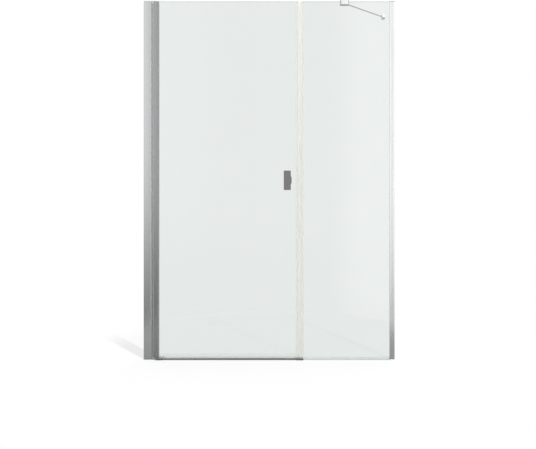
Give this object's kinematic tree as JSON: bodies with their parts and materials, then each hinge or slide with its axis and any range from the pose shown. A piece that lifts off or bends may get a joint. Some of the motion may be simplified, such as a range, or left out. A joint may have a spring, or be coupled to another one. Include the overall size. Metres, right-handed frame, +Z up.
{
  "type": "shower door",
  "caption": "In-line recess shower door: hinged glass leaf with flat handle and magnetic seal, fixed glass panel, wall profiles, low threshold and stay rod.",
  "frame": {"origin": "on the shower tray, in the middle of the recess and in the middle plane of the glass", "axes": "+Z up, +X from the hinge wall to the panel wall, +Y from the room into the shower"},
  "size_m": [1.4, 0.3242, 2.02],
  "materials": {
    "profile_aluminium": "satin anodised aluminium extrusion",
    "threshold_aluminium": "dark satin anodised aluminium extrusion",
    "cap_plastic": "moulded grey plastic with a fine grain",
    "pivot_metal": "satin die-cast pivot bracket",
    "fastener_steel": "bright stainless steel",
    "bush_polymer": "natural white bearing polymer",
    "clear_glass": "clear safety glass with a faint green tint",
    "clear_seal": "translucent flexible seal plastic",
    "magnet_strip": "pale magnet strip",
    "gasket_rubber": "grey glazing gasket",
    "stay_chrome": "polished chrome",
    "handle_metal": "dark polished metal"
  },
  "bodies": {
    "frame": {"hinge_wall_channel": "profile_aluminium", "hinge_jamb": "profile_aluminium", "panel_wall_channel": "profile_aluminium", "panel_glazing_profile": "profile_aluminium", "threshold_strip": "threshold_aluminium", "threshold_hinge_cap": "cap_plastic", "threshold_panel_cap": "cap_plastic", "panel_profile_cap": "cap_plastic", "panel_profile_foot": "cap_plastic", "top_pivot_bracket": "pivot_metal", "bottom_pivot_bracket": "pivot_metal", "jamb_lock_screws": "fastener_steel", "panel_lock_screws": "fastener_steel", "top_pivot_pin": "fastener_steel", "bottom_pivot_pin": "fastener_steel", "stay_clamp_screws": "fastener_steel", "stay_lock_screws": "fastener_steel", "panel_glass": "clear_glass", "panel_magnet_carrier": "clear_seal", "panel_bottom_seal": "clear_seal", "hinge_bulb_seal": "clear_seal", "panel_magnet_strip": "magnet_strip", "panel_front_gasket": "gasket_rubber", "panel_rear_gasket": "gasket_rubber", "stay_clamp_pads": "gasket_rubber", "stay_clamp": "stay_chrome", "stay_rod": "stay_chrome", "stay_wall_boss": "stay_chrome"},
    "door": {"door_hinge_profile": "profile_aluminium", "top_hinge_bush": "bush_polymer", "bottom_hinge_bush": "bush_polymer", "hinge_top_cap": "cap_plastic", "hinge_bottom_cap": "cap_plastic", "door_gasket": "gasket_rubber", "door_clamp_bar": "profile_aluminium", "door_clamp_screws": "fastener_steel", "door_glass": "clear_glass", "door_magnet_carrier": "clear_seal", "door_magnet_strip": "magnet_strip", "door_bottom_seal": "clear_seal", "handle_outer_base": "handle_metal", "handle_outer_plate": "handle_metal", "handle_inner_base": "handle_metal", "handle_inner_plate": "handle_metal", "handle_gaskets": "gasket_rubber", "handle_sleeves": "bush_polymer", "handle_screws": "fastener_steel", "handle_plate_screws": "fastener_steel"}
  },
  "joints": [
    {"name": "door_swing", "type": "hinge", "parent": "frame", "child": "door", "pos_m": [-0.6474, -0.009, 0], "axis": [0, 0, -1], "range_deg": [0, 90]}
  ]
}
